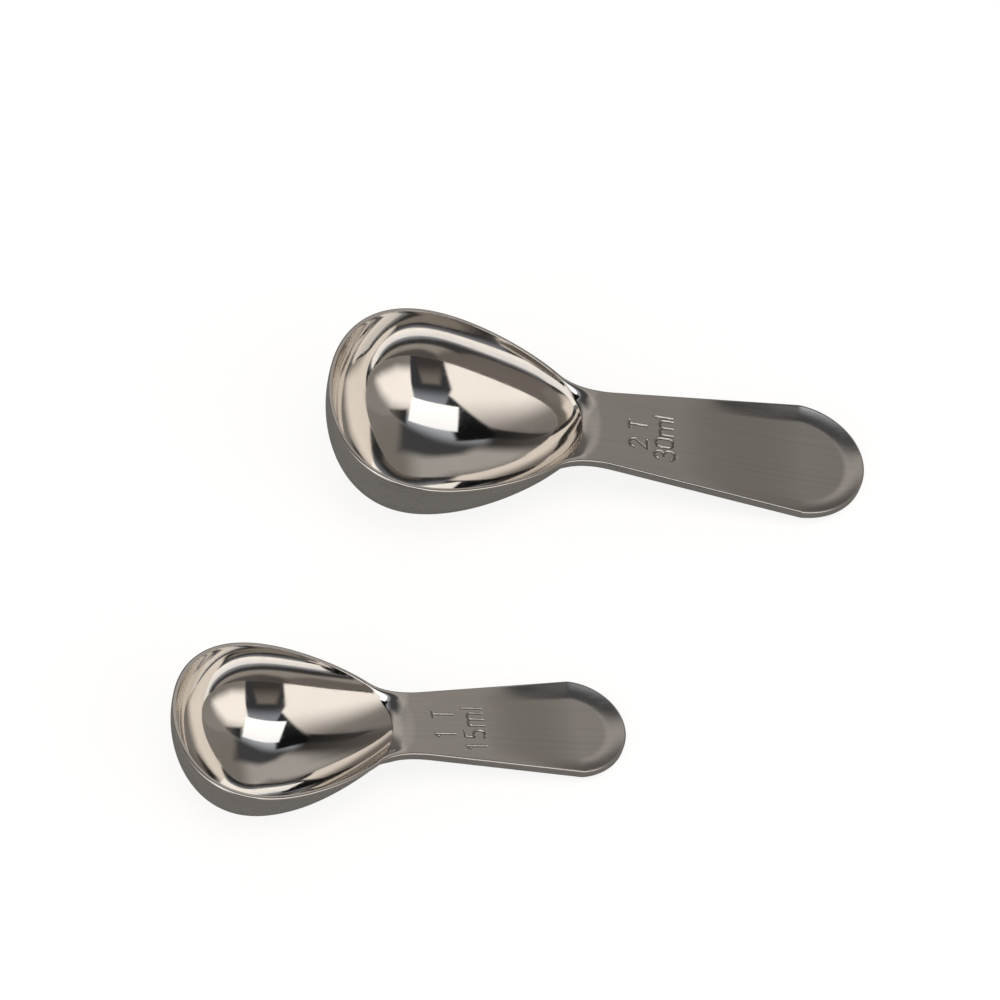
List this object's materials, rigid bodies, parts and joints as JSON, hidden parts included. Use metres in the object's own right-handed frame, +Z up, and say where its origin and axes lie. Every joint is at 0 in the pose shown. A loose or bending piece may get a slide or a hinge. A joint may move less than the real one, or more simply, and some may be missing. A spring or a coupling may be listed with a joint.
{
  "type": "measuring spoon",
  "caption": "Pressed steel measuring scoops with egg-shaped bowls, level rims and wide handles that end in a shallow thumb dish, for levelling off kitchen portions.",
  "frame": {"origin": "on the table under the middle of the pair's bounding box, both scoops lying as in the picture", "axes": "+X from the bowls towards the handles, +Y from the small scoop towards the large one, +Z up from the table"},
  "size_m": [0.1461, 0.1278, 0.0282],
  "materials": {
    "steel": "satin, brushed along the handle and outside, mirror polished inside the bowl and on the rim"
  },
  "bodies": {
    "large_scoop": {"large_scoop": "steel"},
    "small_scoop": {"small_scoop": "steel"}
  },
  "joints": [
    {"name": "small_scoop_lift", "type": "slide", "parent": "large_scoop", "child": "small_scoop", "axis": [0, 0, 1], "range_m": [0, 0.1]}
  ]
}
